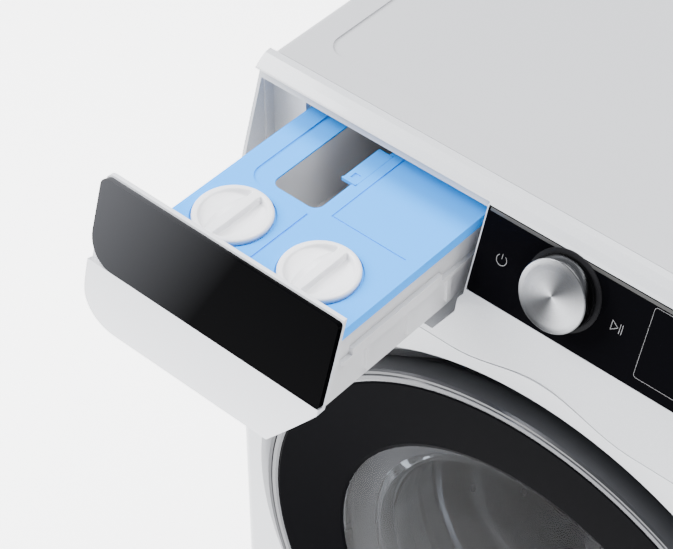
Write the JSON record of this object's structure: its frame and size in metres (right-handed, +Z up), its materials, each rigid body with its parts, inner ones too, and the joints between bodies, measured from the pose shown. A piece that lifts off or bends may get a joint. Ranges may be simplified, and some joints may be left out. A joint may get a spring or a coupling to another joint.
{
  "type": "front load washing machine",
  "caption": "Front load washing machine with a round glass door, sloping black control panel with a knob, and a pull-out dispenser drawer with filler caps.",
  "frame": {"origin": "floor level, at the centre of the cabinet's footprint", "axes": "+X to the right seen from the front, +Y to the back, +Z up; the door is closed and the dispenser drawer is pulled out at rest"},
  "size_m": [0.6, 0.724, 0.85],
  "materials": {
    "white_paint": "smooth white enamel, satin gloss",
    "white_moulding": "white moulded plastic, satin",
    "galvanised": "galvanised sheet with a fine spangle",
    "black_glass": "glossy black panel with a smoky reflection",
    "display": "smoked display window",
    "board": "green circuit board",
    "dark_ring": "dark ring with a soft sheen",
    "spun_metal": "aluminium with a radial spun face",
    "housing_plastic": "light grey moulded plastic",
    "rubber_black": "black rubber hose and belt",
    "rubber_grey": "grey moulded rubber bellows",
    "dark_plastic": "dark grey moulded plastic",
    "tub_plastic": "grey filled polypropylene",
    "bright_steel": "bright plated steel",
    "stainless": "satin stainless steel",
    "concrete": "cast concrete",
    "cast_alloy": "cast aluminium, slightly rough",
    "motor_paint": "dark painted motor frame",
    "gunmetal": "brushed dark metal rim",
    "grey_trim": "mid grey trim ring",
    "clear_window": "clear tinted window",
    "clear_glass": "thick clear bowl glass",
    "filter_blue": "blue filter cap",
    "tray_white": "off-white moulded drawer",
    "front_white": "glossy white drawer front",
    "lid_blue": "light blue moulded lid with a fine satin grain",
    "cap_white": "off-white filler cap"
  },
  "bodies": {
    "cabinet": {"base_pan": "galvanised", "cabinet_wrap": "white_paint", "rear_cover": "galvanised", "top_panel": "white_paint", "front_panel": "white_paint", "control_fascia": "white_moulding", "control_glass": "black_glass", "display_window": "display", "control_board": "board", "knob_ring": "dark_ring", "dispenser_housing": "housing_plastic", "dispenser_cover": "housing_plastic", "inlet_valve": "housing_plastic", "drain_spigot": "dark_plastic", "power_gland": "dark_plastic", "main_board_box": "housing_plastic", "cross_rail": "galvanised", "door_lock": "housing_plastic", "hinge_bracket": "cast_alloy", "bellows": "rubber_grey", "bellows_clamps": "bright_steel", "tub_front": "tub_plastic", "tub_rear": "tub_plastic", "tub_bearings": "bright_steel", "heater": "stainless", "counterweight_front": "concrete", "counterweight_top": "concrete", "suspension_springs": "bright_steel", "damper_cylinders": "dark_plastic", "damper_rods": "bright_steel", "motor": "motor_paint", "drive_belt": "rubber_black", "drain_pump": "housing_plastic", "hoses": "rubber_black", "levelling_feet": "dark_plastic", "panel_screws": "bright_steel", "transit_caps": "tray_white"},
    "flap": {"service_flap": "white_moulding"},
    "filter": {"pump_filter": "filter_blue"},
    "knob_body": {"knob": "spun_metal"},
    "drum": {"drum_shell": "stainless", "drum_lifters": "tub_plastic", "drum_spider": "cast_alloy", "drum_pulley": "cast_alloy"},
    "motor_shaft": {"motor_pulley": "bright_steel"},
    "door": {"door_frame": "housing_plastic", "door_rim": "gunmetal", "door_bezel": "grey_trim", "door_cover": "black_glass", "door_window": "clear_window", "door_bowl": "clear_glass", "hinge_pin": "bright_steel"},
    "hook": {"door_hook": "bright_steel"},
    "drawer": {"drawer_tray": "tray_white", "drawer_front": "front_white", "drawer_panel": "black_glass", "drawer_lid": "lid_blue"},
    "cap_l": {"cap_left": "cap_white"},
    "cap_r": {"cap_right": "cap_white"},
    "lever": {"release_lever": "lid_blue"}
  },
  "joints": [
    {"name": "drawer_slide", "type": "slide", "parent": "cabinet", "child": "drawer", "axis": [0, -1, 0], "range_m": [-0.156, 0]},
    {"name": "cap_left_turn", "type": "hinge", "parent": "drawer", "child": "cap_l", "pos_m": [-0.2211, -0.351, 0.815], "axis": [0, 0, 1], "range_deg": [0, 90]},
    {"name": "cap_right_turn", "type": "hinge", "parent": "drawer", "child": "cap_r", "pos_m": [-0.1371, -0.3535, 0.815], "axis": [0, 0, 1], "range_deg": [0, 90]},
    {"name": "lever_press", "type": "hinge", "parent": "drawer", "child": "lever", "pos_m": [-0.1831, -0.2306, 0.8138], "axis": [1, 0, 0], "range_deg": [0, 6], "stiffness_Nm_per_rad": 0.2},
    {"name": "door_hinge", "type": "hinge", "parent": "cabinet", "child": "door", "pos_m": [-0.24, -0.2773, 0.4394], "axis": [0, 0, -1], "range_deg": [0, 140]},
    {"name": "door_hook_pull", "type": "hinge", "parent": "door", "child": "hook", "pos_m": [0.208, -0.242, 0.4394], "axis": [0, 0, 1], "range_deg": [0, 12], "stiffness_Nm_per_rad": 0.3},
    {"name": "knob_turn", "type": "hinge", "parent": "cabinet", "child": "knob_body", "pos_m": [-0.002, -0.25361, 0.81304], "axis": [0, -0.9511, 0.309], "continuous": true},
    {"name": "drum_spin", "type": "hinge", "parent": "cabinet", "child": "drum", "pos_m": [0, 0, 0.43], "axis": [0, 1, 0], "continuous": true},
    {"name": "motor_spin", "type": "hinge", "parent": "cabinet", "child": "motor_shaft", "pos_m": [0.06, 0.1, 0.092], "axis": [0, 1, 0], "continuous": true},
    {"name": "flap_open", "type": "hinge", "parent": "cabinet", "child": "flap", "pos_m": [-0.2025, -0.2735, 0.0548], "axis": [1, 0, 0], "range_deg": [0, 95]},
    {"name": "filter_turn", "type": "hinge", "parent": "cabinet", "child": "filter", "pos_m": [-0.2, -0.24, 0.094], "axis": [0, -1, 0], "range_deg": [0, 90]}
  ],
  "couplings": [
    {"joint": "motor_spin", "follows": "drum_spin", "ratio": 12.5}
  ]
}
